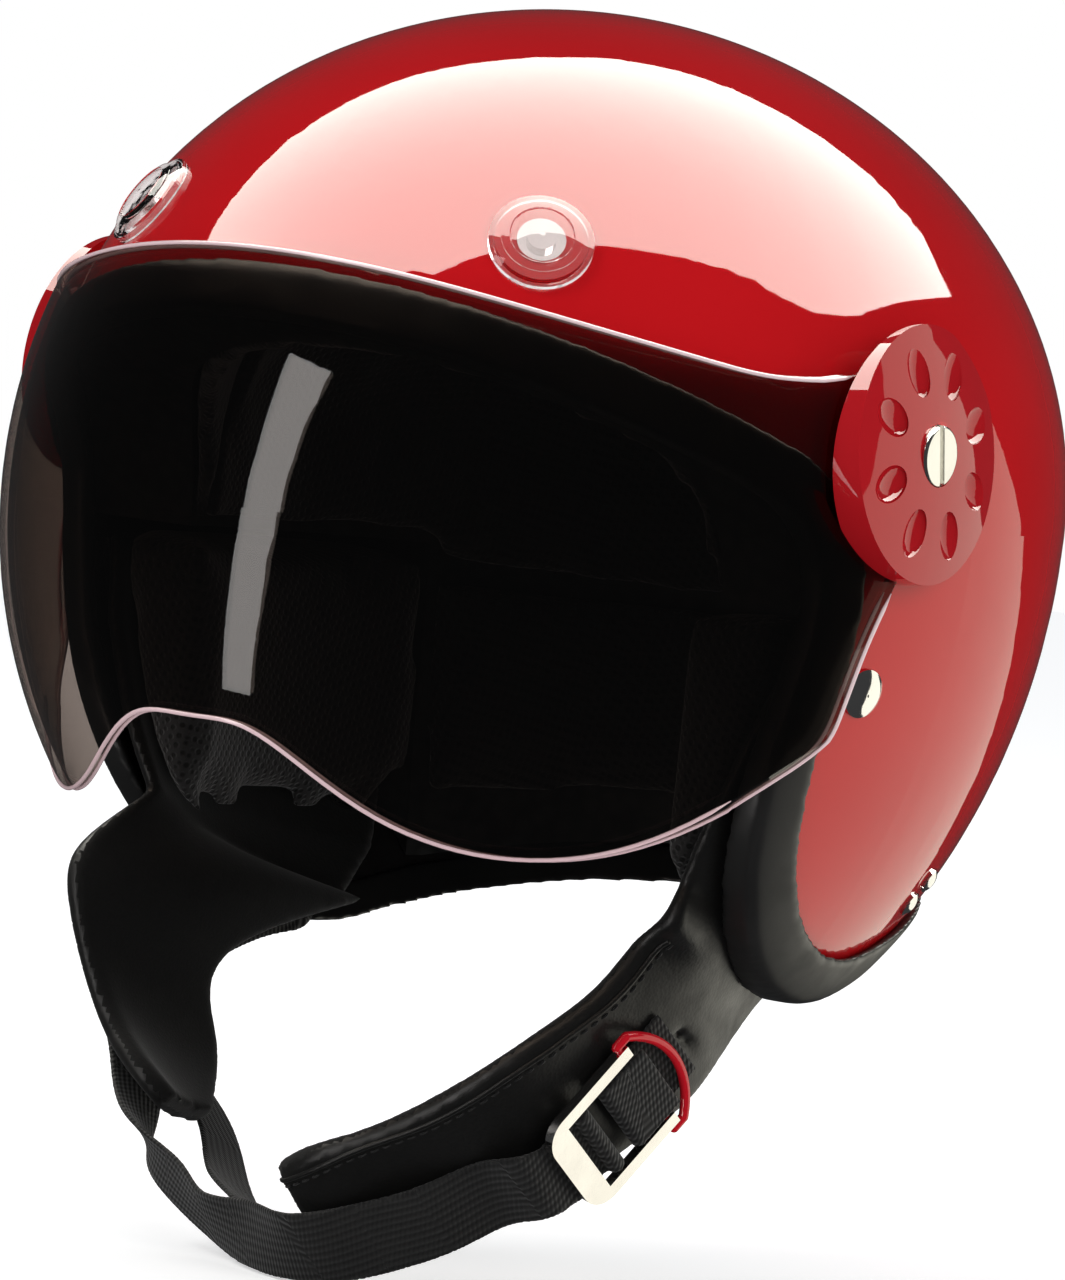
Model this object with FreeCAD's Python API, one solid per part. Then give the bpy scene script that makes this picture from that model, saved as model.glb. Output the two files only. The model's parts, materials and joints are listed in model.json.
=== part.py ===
import FreeCAD, Part
import math
import os

# Open-face motorcycle helmet. Millimetres. The face looks along -Y, the crown is +Z and the
# wearer's left is +X. The origin is the middle of the shell at its widest height.

V = FreeCAD.Vector
LEFT = 1
RIGHT = -1

# ---- outer shell: half of an ellipsoid above the origin, a deeper half below it
half_width = 121.0
half_length = 140.0
crown_height = 116.0
skirt_depth = 156.0
shell_wall = 4.0

# ---- side view of the face and neck opening at the edge of the painted field
brow_corner = (-38.0, 5.0)
brow_slope = 0.435
jaw_corner = (-43.0, -123.4)
nape_slope = 0.24
brow_radius = 42.0
jaw_radius = 57.0
reach = 260.0

# ---- edge moulding
trim_width = 13.0
trim_lap = 9.0
trim_inner_lap = 5.0
trim_proud = 2.4
trim_lip = 1.2

# ---- padding: thicknesses outwards in, and where each pad ends
seat_gap = 0.3
foam_thickness = 30.0
comfort_thickness = 7.7
cavity_skirt = 420.0
foam_inset = 4.0
pad_top = -23.0
foam_bottom = -22.0
ear_back = 55.0
brow_band = 24.0
nape_top = -30.0
nape_bottom = -88.0
cheek_front = -47.0
cheek_back = 51.0
cheek_bottom = -106.0
cheek_corner = 24.0

# ---- layers between shell and cheek pad
webbing_depth = 5.5
seam_match = 0.01
webbing_thickness = 1.2
flap_depth = 7.5
flap_thickness = 4.2
tongue_thickness = 6.4
plate_thickness = 1.6
plate_radius = 10.0
rear_plate_radius = 6.0

# ---- ear flaps: outer corners of the sections, front edge then rear edge
# stations inside the shell give (Y, Z) of both edges; below it each station is a front, middle
# and rear point of the outer face
left_inside = (
    ((-42.0, -27.0), (-14.0, -27.0)),
    ((-48.0, -48.0), (16.0, -56.0)),
    ((-49.0, -68.0), (50.0, -88.0)),
    ((-48.0, -80.0), (40.0, -103.0)),
    ((-45.0, -91.0), (22.0, -115.0)),
)
left_flap = (
    ((77.0, -47.0, -103.0), (74.5, -19.0, -118.0), (67.0, 6.0, -131.0)),
    ((71.0, -50.0, -111.0), (72.0, -29.0, -127.0), (69.5, -9.0, -141.5)),
    ((68.0, -56.0, -118.7), (69.0, -36.0, -133.5), (68.5, -16.0, -147.5)),
    ((62.5, -68.0, -129.0), (63.1, -48.0, -143.4), (63.0, -28.0, -157.5)),
    ((54.5, -77.0, -138.5), (55.2, -59.7, -154.4), (55.0, -42.0, -170.0)),
    ((37.0, -83.0, -152.0), (38.2, -66.7, -167.2), (39.0, -50.0, -182.0)),
    ((16.0, -88.0, -163.0), (18.1, -74.2, -178.2), (20.0, -60.0, -193.0)),
    ((-1.0, -86.0, -171.0), (2.1, -75.7, -183.2), (5.0, -65.0, -195.0)),
)
right_inside = (
    ((-42.0, -27.0), (-14.0, -27.0)),
    ((-48.0, -48.0), (16.0, -56.0)),
    ((-49.0, -68.0), (50.0, -88.0)),
    ((-48.0, -79.0), (40.0, -103.0)),
    ((-47.0, -89.0), (22.0, -115.0)),
)
right_flap = (
    ((-89.0, -65.0, -105.0), (-68.5, -27.0, -117.0), (-64.0, 4.0, -118.0)),
    ((-87.0, -65.0, -124.0), (-78.5, -43.0, -130.0), (-73.5, -24.0, -134.0)),
    ((-80.0, -62.0, -143.0), (-78.0, -41.0, -147.0), (-75.0, -20.0, -150.5)),
    ((-68.0, -64.0, -155.0), (-69.0, -46.0, -160.0), (-67.0, -28.0, -163.5)),
    ((-58.0, -60.0, -165.0), (-60.0, -49.0, -168.0), (-60.0, -38.0, -170.0)),
)

# ---- chin strap: edges of the outer face from the chin to the right ear, front then rear
strap_width = 23.0
strap_slack = 1.4
strap_left_share = 0.66
strap_on_tongue = (
    ((47.5, -81.3, -146.6), (48.7, -47.3, -177.3)),
    ((37.0, -83.0, -152.0), (39.0, -50.0, -182.0)),
    ((27.2, -86.4, -158.2), (30.2, -55.9, -188.2)),
    ((16.0, -88.0, -163.0), (20.0, -60.0, -193.0)),
)
right_strap = (
    ((1.0, -80.8, -179.2), (3.0, -65.8, -196.2)),
    ((-20.0, -70.0, -180.0), (-26.0, -57.0, -197.0)),
    ((-35.0, -66.0, -182.0), (-42.0, -52.0, -193.0)),
    ((-46.0, -62.0, -177.0), (-58.0, -52.0, -183.0)),
    ((-61.0, -60.0, -169.5), (-68.0, -45.0, -174.0)),
    ((-73.0, -57.0, -157.5), (-73.5, -35.0, -162.0)),
    ((-82.0, -53.0, -142.0), (-79.3, -31.0, -146.0)),
    ((-82.5, -46.0, -128.0), (-78.0, -24.0, -132.0)),
    ((-75.5, -35.0, -119.0), (-70.5, -12.0, -122.5)),
    ((-77.0, -28.0, -111.0), (-78.5, -6.0, -112.0)),
)
front_leg_inside = (
    ((-42.0, -28.0), (-20.0, -28.0)),
    ((-40.0, -46.0), (-17.0, -46.0)),
    ((-36.0, -64.0), (-13.0, -64.0)),
    ((-31.0, -82.0), (-8.0, -82.0)),
    ((-26.0, -100.0), (-3.0, -100.0)),
)
rear_leg_width = 16.0
rear_leg = (
    ((-27.0, -64.0, -184.0), (-14.0, -58.0, -189.0)),
    ((-44.0, -54.0, -179.0), (-38.0, -42.0, -186.0)),
    ((-58.0, -40.0, -172.0), (-56.0, -25.0, -177.0)),
    ((-73.5, -33.0, -160.5), (-72.0, -18.0, -165.0)),
    ((-85.5, -37.0, -144.5), (-82.8, -22.5, -148.5)),
    ((-85.0, -30.0, -128.5), (-81.8, -16.5, -135.5)),
    ((-76.5, 2.5, -109.5), (-70.0, 10.5, -122.5)),
)
rear_leg_inside = (
    ((40.0, -84.0), (48.5, -97.5)),
    ((29.0, -91.0), (37.5, -104.5)),
    ((14.0, -100.5), (22.0, -114.5)),
)

# ---- buckle on the left tongue: centre, direction up the strap, direction across to the rear
buckle_centre = (63.5, -41.95, -148.0)
buckle_up = (0.315, 0.538, 0.782)
buckle_rear = (0.013, 0.821, -0.570)
buckle_half_window = 12.5
buckle_bar = 3.4
buckle_top = 12.0
buckle_window_end = -12.0
buckle_plate_end = -19.0
buckle_plate_corner = 7.0
buckle_bottom = 2.2
buckle_thickness = 2.6
pin_radius = 1.0
pin_height = 2.9
keeper_pin_at = 1.5
slide_bar_at = -7.0
strap_return = 14.8
strap_left_start = 24.0
loop_wire = 1.25
loop_hinge_at = 10.0
loop_hinge_height = 3.5
loop_half_width = 17.4
loop_straight = 13.5
loop_reach = 20.5
loop_pin_radius = 0.95
buttonhole_at = (26.5, 4.5)
buttonhole_length = 11.0
buttonhole_width = 3.0
buttonhole_depth = 2.5

# ---- visor and its pivots
visor_half_width = 126.0
visor_half_length = 153.0
visor_half_height = 137.0
visor_centre_z = -12.0
visor_wall = 2.0
pivot_y = -30.0
pivot_z = 17.5
pad_radius = 15.0
arm_end = 14.0
pad_plane = 120.0
ramp_slope = 0.45
ramp_length = 9.0
shoulder_slope = 1.3
shoulder_length = 14.0

disc_radius = 30.8
disc_rim_x = 123.6
disc_tilt = 6.0
disc_dome = 3.2
disc_skirt_back = 122.4
disc_skirt_front = 116.8
dimple_count = 8
dimple_circle = 20.5
dimple_length = 13.0
dimple_width = 8.5
dimple_depth = 2.0
spacer_radius = 13.0
spacer_top = 118.7
washer_radius = 8.0
washer_thickness = 1.2
screw_seat_x = 124.2
screw_head_radius = 7.3
screw_head_height = 3.4
screw_shank_radius = 4.0
screw_thread_radius = 2.5
coin_slot_width = 2.0
coin_slot_depth = 1.4
nut_flange_radius = 9.0
nut_flange = 1.8
nut_barrel_radius = 4.6
nut_below_skin = 1.7
nut_inner_x = 108.0
running_clearance = 0.05
hub_play = 0.1

# ---- front press studs
snap_x = 57.0
snap_z = 56.5
snap_cap_radius = 12.4
snap_cap_height = 4.6
snap_cap_wall = 1.5
snap_ring_radius = 8.6
snap_ring_height = 0.5
snap_stud_radius = 5.6
snap_stud_height = 2.4
snap_shank_radius = 2.0
snap_back_radius = 6.5

# ---- rivets on the sides
rivet_radius = 6.0
rivet_dome = 2.4
rivet_shank_radius = 2.4
cheek_rivet = (-31.0, -40.3)
rear_rivet_radius = 3.3
rear_rivet_shank = 1.5
rear_rivets = ((40.7, -93.6), (45.3, -87.6))


def half_ball(lower, a, b, c):
    if lower:
        ball = Part.makeSphere(1.0, V(0, 0, 0), V(0, 0, 1), -90, 0, 360)
    else:
        ball = Part.makeSphere(1.0, V(0, 0, 0), V(0, 0, 1), 0, 90, 360)
    scale = FreeCAD.Matrix()
    scale.scale(a, b, c)
    return ball.transformGeometry(scale)


def egg(a, b, up, down):
    return half_ball(False, a, b, up).fuse(half_ball(True, a, b, down))


def cap(grow):
    return egg(half_width + grow, half_length + grow, crown_height + grow, skirt_depth + grow)


def cavity(depth):
    return egg(half_width - depth, half_length - depth, crown_height - depth, cavity_skirt)


def layer(outer_depth, inner_depth):
    return cap(-outer_depth).cut(cap(-inner_depth))


def shell_x(y, z, grow):
    height = crown_height if z >= 0 else skirt_depth
    rest = 1 - (y / (half_length + grow)) ** 2 - (z / (height + grow)) ** 2
    return (half_width + grow) * math.sqrt(max(rest, 0.0))


def shell_normal(x, y, z):
    height = crown_height if z >= 0 else skirt_depth
    return V(x / half_width ** 2, y / half_length ** 2, z / height ** 2).normalize()


def rounded_wire(points, radii):
    # closed outline in the YZ plane with an arc of its own radius at each corner
    edges = []
    last = None
    first = None
    count = len(points)
    for i in range(count):
        p = V(0, *points[i])
        before = (V(0, *points[i - 1]) - p).normalize()
        after = (V(0, *points[(i + 1) % count]) - p).normalize()
        if radii[i] > 0:
            half = before.getAngle(after) / 2
            run = radii[i] / math.tan(half)
            start = p + before * run
            end = p + after * run
            middle = (before + after).normalize()
            top = p + middle * (radii[i] / math.sin(half) - radii[i])
            arc = Part.Arc(start, top, end).toShape()
        else:
            start = p
            end = p
            arc = None
        if last is not None:
            edges.append(Part.makeLine(last, start))
        else:
            first = start
        if arc is not None:
            edges.append(arc)
        last = end
    edges.append(Part.makeLine(last, first))
    return Part.Wire(edges)


def side_prism(points, radii, start=-reach, length=2 * reach):
    face = Part.Face(rounded_wire(points, radii))
    face.translate(V(start, 0, 0))
    return face.extrude(V(length, 0, 0))


def half_prism(points, radii, side):
    if side == LEFT:
        return side_prism(points, radii, 0.0, reach)
    return side_prism(points, radii, -reach, reach)


def crossing(p, u, q, w):
    # meeting point of two lines given by a point and a direction
    det = u[0] * w[1] - u[1] * w[0]
    t = ((q[0] - p[0]) * w[1] - (q[1] - p[1]) * w[0]) / det
    return (p[0] + u[0] * t, p[1] + u[1] * t)


def unit(u):
    size = math.hypot(u[0], u[1])
    return (u[0] / size, u[1] / size)


def keep(offset):
    # everything above the brow line, behind the jaw line and above the nape line, with the
    # opening moved inwards on itself by offset
    brow = unit((1.0, -brow_slope))
    jaw = unit((jaw_corner[0] - brow_corner[0], jaw_corner[1] - brow_corner[1]))
    nape = unit((1.0, nape_slope))
    ways = (brow, jaw, nape)
    anchors = (brow_corner, brow_corner, jaw_corner)
    moved = []
    for way, p in zip(ways, anchors):
        normal = (way[1], -way[0])
        moved.append((p[0] + normal[0] * offset, p[1] + normal[1] * offset))
    k1 = crossing(moved[0], brow, moved[1], jaw)
    k2 = crossing(moved[1], jaw, moved[2], nape)
    start = (-reach, k1[1] + brow_slope * (k1[0] + reach))
    end = (reach, k2[1] + nape_slope * (reach - k2[0]))
    points = (start, k1, k2, end, (reach, reach), (-reach, reach))
    radii = (0, brow_radius - offset, jaw_radius + offset, 0, 0, 0)
    return side_prism(points, radii)


def drill(y, z, radius, side, depth=40.0):
    # straight hole along X through the side of the shell
    x = shell_x(y, z, 0)
    hole = Part.makeCylinder(radius, 2 * depth, V(x - depth, y, z), V(1, 0, 0))
    return hole if side == LEFT else flip(hole)


def flip(shape):
    return shape.mirror(V(0, 0, 0), V(1, 0, 0))


def joined(shapes):
    whole = shapes[0]
    for shape in shapes[1:]:
        whole = whole.fuse(shape)
    return whole.removeSplitter()


def save(name, shape):
    os.makedirs("parts", exist_ok=True)
    solids = shape.Solids
    whole = solids[0] if len(solids) == 1 else Part.makeCompound(solids)
    whole.exportStep("parts/" + name + ".step")


# ------------------------------------------------------------------ shell, moulding, padding

def snap_axis(side):
    rest = 1 - (snap_x / half_width) ** 2 - (snap_z / crown_height) ** 2
    y = -half_length * math.sqrt(rest)
    base = V(side * snap_x, y, snap_z)
    return base, shell_normal(base.x, base.y, base.z)


def rivet_axis(place, side):
    y, z = place
    base = V(side * shell_x(y, z, 0), y, z)
    return base, shell_normal(base.x, base.y, base.z)


def shell_holes():
    holes = []
    for side in (LEFT, RIGHT):
        base, normal = snap_axis(side)
        holes.append(Part.makeCylinder(snap_shank_radius, 16, base - normal * 8, normal))
        base, normal = rivet_axis(cheek_rivet, side)
        holes.append(Part.makeCylinder(rivet_shank_radius, 16, base - normal * 8, normal))
        for place in rear_rivets:
            base, normal = rivet_axis(place, side)
            holes.append(Part.makeCylinder(rear_rivet_shank, 16, base - normal * 8, normal))
        holes.append(drill(pivot_y, pivot_z, nut_barrel_radius + running_clearance, side, 20.0))
    return Part.makeCompound(holes)


def outer_shell():
    body = cap(0).cut(cap(-shell_wall))
    body = body.common(keep(trim_lap))
    return body.cut(shell_holes())


def edge_trim(shell_blank):
    band = cap(trim_proud).cut(cap(-shell_wall - trim_lip))
    band = band.common(keep(trim_width).cut(keep(0)))
    inner = cap(-shell_wall).common(keep(trim_inner_lap))
    return band.cut(inner).cut(shell_blank)


def pad_zone():
    # the liner ends level with the top of the ears and runs lower behind them
    points = ((-reach, foam_bottom), (ear_back, foam_bottom), (ear_back, -reach),
              (reach, -reach), (reach, reach), (-reach, reach))
    return side_prism(points, (0, 0, 0, 0, 0, 0))


def pivot_pockets():
    pockets = []
    for side in (LEFT, RIGHT):
        pockets.append(drill(pivot_y, pivot_z, nut_flange_radius + 1.0, side, 14.0))
        base, normal = snap_axis(side)
        pockets.append(Part.makeCylinder(snap_back_radius + 1.0, 20, base - normal * 10, normal))
    return Part.makeCompound(pockets)


def impact_liner(zone):
    body = cap(-shell_wall - seat_gap).cut(cavity(shell_wall + foam_thickness))
    body = body.common(keep(foam_inset)).common(zone)
    return body.cut(pivot_pockets())


def comfort_blank(zone):
    start = shell_wall + foam_thickness + seat_gap
    body = cavity(start).cut(cavity(start + comfort_thickness))
    return body.common(keep(foam_inset)).common(zone)


def front_block(top_offset):
    # the part of the helmet ahead of the ears and below a line parallel to the brow
    rise = brow_slope
    y0, z0 = brow_corner
    lift = top_offset * math.hypot(1.0, rise)
    points = ((-reach, -reach), (y0, -reach), (y0, z0 + lift), (-reach, z0 + lift + rise * (y0 + reach)))
    return side_prism(points, (0, 0, 0, 0))


def nape_block():
    points = ((ear_back + seat_gap, nape_bottom), (reach, nape_bottom + nape_slope * reach * 0.5),
              (reach, nape_top), (ear_back + seat_gap, nape_top))
    return side_prism(points, (0, 0, 0, 0))


def brow_pad(blank):
    return blank.common(front_block(brow_band))


def nape_pad(blank):
    return blank.common(nape_block())


def crown_pad(blank):
    below = Part.makeBox(2 * reach, 2 * reach, reach, V(-reach, ear_back, nape_top + seat_gap - reach))
    return blank.cut(front_block(brow_band + seat_gap)).cut(below)


def cheek_pad(side):
    outer = flap_depth + flap_thickness + plate_thickness + 3 * seat_gap
    inner = cavity(shell_wall + foam_thickness + seat_gap + comfort_thickness)
    body = cap(-outer).cut(inner)
    points = ((cheek_front, pad_top), (cheek_front, cheek_bottom), (cheek_back, cheek_bottom + 12),
              (cheek_back, pad_top))
    zone = half_prism(points, (8.0, cheek_corner, cheek_corner, 8.0), side)
    return body.common(zone)


# ------------------------------------------------------------------ ear flaps and chin strap

def facing(along, across, middle):
    normal = along.cross(across).normalize()
    if normal.dot(V(0, 0, -80) - middle) < 0:
        normal = normal * -1
    return normal


def inward_ways(sections):
    # inward direction at each station, across the middle of its two edges
    ways = []
    count = len(sections)
    for i in range(count):
        front = V(*sections[i][0])
        rear = V(*sections[i][-1])
        ahead = sections[min(i + 1, count - 1)]
        back = sections[max(i - 1, 0)]
        along = V(*ahead[0]) + V(*ahead[-1]) - V(*back[0]) - V(*back[-1])
        ways.append(facing(along, rear - front, (front + rear) * 0.5))
    return ways


def stadium(front, rear, inward, depth, thickness, width):
    # section across a flat band: two straight sides and two round ends
    middle = (front + rear) * 0.5 + inward * (depth + thickness / 2)
    run = (rear - front).normalize() * (width / 2 - thickness / 2)
    out = inward * (-thickness / 2)
    a = middle - run
    b = middle + run
    tip_a = a - run.normalize() * (thickness / 2)
    tip_b = b + run.normalize() * (thickness / 2)
    edges = [Part.makeLine(a + out, b + out), Part.Arc(b + out, tip_b, b - out).toShape(),
             Part.makeLine(b - out, a - out), Part.Arc(a - out, tip_a, a + out).toShape()]
    return Part.Wire(edges)


def crescent(points, inward, depth, thickness):
    # section across a curved band through the front, middle and rear of its outer face
    front, middle, rear = [V(*p) + inward * depth for p in points]
    centre = (front + rear) * 0.5
    middle = centre + inward * (middle - centre).dot(inward)
    half = (rear - front).normalize() * (thickness / 2)
    down = inward * thickness
    a = front + half
    b = rear - half
    edges = [Part.Arc(a, middle, b).toShape(), Part.Arc(b, rear + down * 0.5, b + down).toShape(),
             Part.Arc(b + down, middle + down, a + down).toShape(),
             Part.Arc(a + down, front + down * 0.5, a).toShape()]
    return Part.Wire(edges)


def inside_station(pair, side, depth):
    (y0, z0), (y1, z1) = pair
    places = ((y0, z0), ((y0 + y1) / 2, (z0 + z1) / 2), (y1, z1))
    return tuple((side * shell_x(y, z, -depth), y, z) for y, z in places)


def flap_body(inside, outside, side):
    # straight-ruled inside the shell, smooth from the last station inside it to the tip
    stations = [inside_station(pair, side, flap_depth) for pair in inside] + list(outside)
    wires = []
    for i, inward in enumerate(inward_ways(stations)):
        thickness = flap_thickness if i < len(inside) else tongue_thickness
        wires.append(crescent(stations[i], inward, 0.0, thickness))
    upper = Part.makeLoft(wires[:len(inside)], True, True)
    lower = Part.makeLoft(wires[len(inside) - 1:], True, False, False, 3)
    return upper.fuse(lower)


def sewn(upper, lower):
    # two lofts that share one section, closed into a single solid without that section
    shared = [c.CenterOfMass for c in lower.Faces]
    faces = [f for f in upper.Faces if min((f.CenterOfMass - c).Length for c in shared) > seam_match]
    shared = [c.CenterOfMass for c in upper.Faces]
    faces += [f for f in lower.Faces if min((f.CenterOfMass - c).Length for c in shared) > seam_match]
    skin = Part.makeShell(faces)
    skin.sewShape()
    return Part.makeSolid(skin)


def strap_body(inside, free, depths, width):
    # webbing flat against the inside of the shell, then hanging free
    upper = [inside_station(pair, RIGHT, webbing_depth) for pair in inside]
    stations = upper + list(free)
    wires = []
    for i, inward in enumerate(inward_ways(stations)):
        depth = 0.0 if i < len(upper) else depths[i - len(upper)]
        front = V(*stations[i][0])
        rear = V(*stations[i][-1])
        wires.append(stadium(front, rear, inward, depth, webbing_thickness, width))
    flat = Part.makeLoft(wires[:len(upper)], True, True)
    hanging = Part.makeLoft(wires[len(upper) - 1:], True, False, False, 3)
    return sewn(flat, hanging)


def flap_holes(side):
    base, normal = rivet_axis(cheek_rivet, side)
    return Part.makeCylinder(rivet_shank_radius, 30, base - normal * 20, normal)


def ear_flap(side):
    inside, outside = (left_inside, left_flap) if side == LEFT else (right_inside, right_flap)
    return flap_body(inside, outside, side).cut(flap_holes(side))


def buckle_place(shape):
    # from strap axes (up the strap, across to the front, outwards) to the helmet
    up = V(*buckle_up).normalize()
    front = V(*buckle_rear) * -1
    front = (front - up * front.dot(up)).normalize()
    out = up.cross(front)
    m = FreeCAD.Matrix(up.x, front.x, out.x, buckle_centre[0], up.y, front.y, out.y, buckle_centre[1],
                       up.z, front.z, out.z, buckle_centre[2], 0, 0, 0, 1)
    return shape.transformed(m)


def local_box(x0, x1, half, z0, z1):
    return Part.makeBox(x1 - x0, 2 * half, z1 - z0, V(x0, -half, z0))


def local_rod(x, z, radius, half):
    return Part.makeCylinder(radius, 2 * half, V(x, -half, z), V(0, 1, 0))


def webbing_loop(x, half):
    ring = local_rod(x, pin_height, pin_radius + running_clearance + webbing_thickness, half)
    return ring.cut(local_rod(x, pin_height, pin_radius + running_clearance, half))


def strap_base():
    return pin_height - pin_radius - running_clearance - webbing_thickness


def strap_main():
    half = strap_width / 2
    low = strap_base()
    run = local_box(buckle_plate_end, slide_bar_at, half, low, low + webbing_thickness)
    run = run.cut(local_rod(slide_bar_at, pin_height, pin_radius + running_clearance, half))
    end = buckle_place(joined([run, webbing_loop(slide_bar_at, half)]))
    up = V(*buckle_up).normalize()
    rear = V(*buckle_rear).normalize()
    pairs = []
    for x in (buckle_plate_end + 2.0, buckle_plate_end):
        middle = V(*buckle_centre) + up * x
        pairs.append((tuple(middle - rear * half), tuple(middle + rear * half)))
    for pair in strap_on_tongue:
        front = V(*pair[0])
        rear_edge = V(*pair[-1])
        middle = front + (rear_edge - front) * strap_left_share
        way = (rear_edge - front).normalize()
        pairs.append((tuple(middle - way * half), tuple(middle + way * half)))
    rise = low + webbing_thickness
    depths = [-rise, -rise] + [-rise - strap_slack] * (len(strap_on_tongue) + 2)
    depths.extend([-rise] * (len(right_strap) - 3) + [0.0])
    pairs.extend(right_strap)
    pairs.reverse()
    depths.reverse()
    return strap_body(front_leg_inside, pairs, depths, strap_width).fuse(end)


def strap_rear():
    free = tuple(reversed(rear_leg))
    return strap_body(rear_leg_inside, free, [0.0] * len(free), rear_leg_width)


def strap_left():
    half = strap_width / 2
    low = strap_base()
    run = local_box(keeper_pin_at, strap_left_start, half, low, low + webbing_thickness)
    run = run.cut(local_rod(keeper_pin_at, pin_height, pin_radius + running_clearance, half))
    high = pin_height + pin_radius + running_clearance
    back = local_box(keeper_pin_at, strap_return, half, high, high + webbing_thickness)
    return buckle_place(joined([run, webbing_loop(keeper_pin_at, half), back]))


def buttonhole():
    x, y = buttonhole_at
    slot = Part.makeBox(buttonhole_width, buttonhole_length, 2 * buttonhole_depth,
                        V(x - buttonhole_width / 2, -y - buttonhole_length / 2, -buttonhole_depth))
    slot.rotate(V(x, -y, 0), V(0, 0, 1), 16)
    return buckle_place(slot)


def buckle_frame():
    half = buckle_half_window + buckle_bar
    z0 = buckle_bottom
    z1 = buckle_bottom + buckle_thickness
    plate = local_box(buckle_plate_end, buckle_top, half, z0, z1)
    corners = [e for e in plate.Edges if abs(e.Vertexes[0].X - e.Vertexes[-1].X) < 1e-6
               and abs(e.Vertexes[0].Y - e.Vertexes[-1].Y) < 1e-6]
    low = [e for e in corners if e.Vertexes[0].X < 0]
    high = [e for e in corners if e.Vertexes[0].X > 0]
    plate = plate.makeFillet(buckle_plate_corner, low)
    window = local_box(buckle_window_end, buckle_top + 5.0, buckle_half_window, z0 - 1, z1 + 1)
    frame = plate.cut(window)
    bore = loop_pin_radius + running_clearance
    frame = frame.cut(local_rod(loop_hinge_at, loop_hinge_height, bore, half + 1))
    return buckle_place(frame)


def buckle_pin(x):
    return buckle_place(local_rod(x, pin_height, pin_radius, buckle_half_window))


def release_loop():
    # bent wire: two short legs hinged in the frame and an arc across their ends
    z = loop_hinge_height
    w = loop_half_width
    corner = V(loop_straight, w, z)
    arc = Part.Arc(corner, V(loop_reach, 0, z), V(loop_straight, -w, z))
    start = Part.Wire([Part.makeCircle(loop_wire, corner, arc.tangent(arc.FirstParameter)[0])])
    bow = Part.Wire([arc.toShape()]).makePipeShell([start], True, False)
    inner = buckle_half_window + 0.4
    pieces = [bow]
    for s in (1, -1):
        hinge = V(loop_hinge_at, s * w, z)
        leg = Part.makeCylinder(loop_wire, loop_straight - loop_hinge_at, hinge, V(1, 0, 0))
        pin = Part.makeCylinder(loop_pin_radius, w - inner, V(loop_hinge_at, s * inner, z), V(0, s, 0))
        pieces.extend([leg, pin, Part.makeSphere(loop_wire, hinge),
                       Part.makeSphere(loop_wire, V(loop_straight, s * w, z))])
    return buckle_place(joined(pieces))


# ------------------------------------------------------------------ visor and pivots

def x_cylinder(radius, x0, x1):
    return Part.makeCylinder(radius, x1 - x0, V(x0, pivot_y, pivot_z), V(1, 0, 0))


def x_cone(radius, x, slope, length):
    # widens towards the middle of the helmet
    base = V(x - length, pivot_y, pivot_z)
    return Part.makeCone(radius + length / slope, radius, length, base, V(1, 0, 0))


def visor_envelope(inset):
    ball = half_ball(False, visor_half_width - inset, visor_half_length - inset, visor_half_height - inset)
    ball = ball.fuse(half_ball(True, visor_half_width - inset, visor_half_length - inset,
                               visor_half_height - inset))
    ball.translate(V(0, 0, visor_centre_z))
    top = pad_plane + visor_wall - inset
    radius = pad_radius + (visor_wall - inset) * 0.4
    ramp = x_cone(radius, top, ramp_slope, ramp_length)
    shoulder = x_cone(radius + ramp_length / ramp_slope, top - ramp_length, shoulder_slope, shoulder_length)
    for side in (ramp, shoulder, flip(ramp), flip(shoulder)):
        ball = ball.fuse(side)
    return ball


def spline_edge(points):
    curve = Part.BSplineCurve()
    curve.interpolate([V(*p) for p in points])
    return curve.toShape()


def visor_side():
    # side view: upper edge, the arm round the pivot and the rear edge of the arm
    top = spline_edge(((0, -reach, 92.0), (0, -160.0, 57.5), (0, -120.0, 42.0), (0, -87.0, 34.0),
                       (0, -64.0, 32.0), (0, -50.0, 34.5), (0, pivot_y - 4.0, pivot_z + arm_end)))
    turn = Part.Arc(V(0, pivot_y - 4.0, pivot_z + arm_end), V(0, pivot_y + arm_end + 0.4, pivot_z + 1.0),
                    V(0, pivot_y + 4.0, pivot_z - arm_end + 1.0)).toShape()
    rear = spline_edge(((0, pivot_y + 4.0, pivot_z - arm_end + 1.0), (0, -34.5, -11.0), (0, -41.0, -26.0),
                        (0, -44.0, -44.0), (0, -45.2, -52.0), (0, -50.0, -58.5), (0, -61.0, -69.0)))
    chain = [(-61.0, -69.0), (-90.0, -120.0), (-reach, -120.0), (-reach, 92.0)]
    lines = []
    for p, q in zip(chain[:-1], chain[1:]):
        lines.append(Part.makeLine(V(0, *p), V(0, *q)))
    face = Part.Face(Part.Wire([top, turn, rear] + lines))
    face.translate(V(-reach, 0, 0))
    return face.extrude(V(2 * reach, 0, 0))


def visor_front():
    half = ((14.4, -62.4), (27.8, -69.9), (43.0, -80.7), (60.6, -86.4), (80.7, -83.6), (102.3, -67.6),
            (116.0, -50.0), (150.0, -20.0))
    points = [(-x, 0, z) for x, z in reversed(half)] + [(0, 0, -61.7)] + [(x, 0, z) for x, z in half]
    edge = spline_edge(points)
    ends = [V(150, 0, -20), V(150, 0, reach), V(-150, 0, reach), V(-150, 0, -20)]
    lines = [Part.makeLine(p, q) for p, q in zip(ends[:-1], ends[1:])]
    face = Part.Face(Part.Wire([edge] + lines))
    face.translate(V(0, -reach, 0))
    return face.extrude(V(0, 2 * reach, 0))


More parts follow.
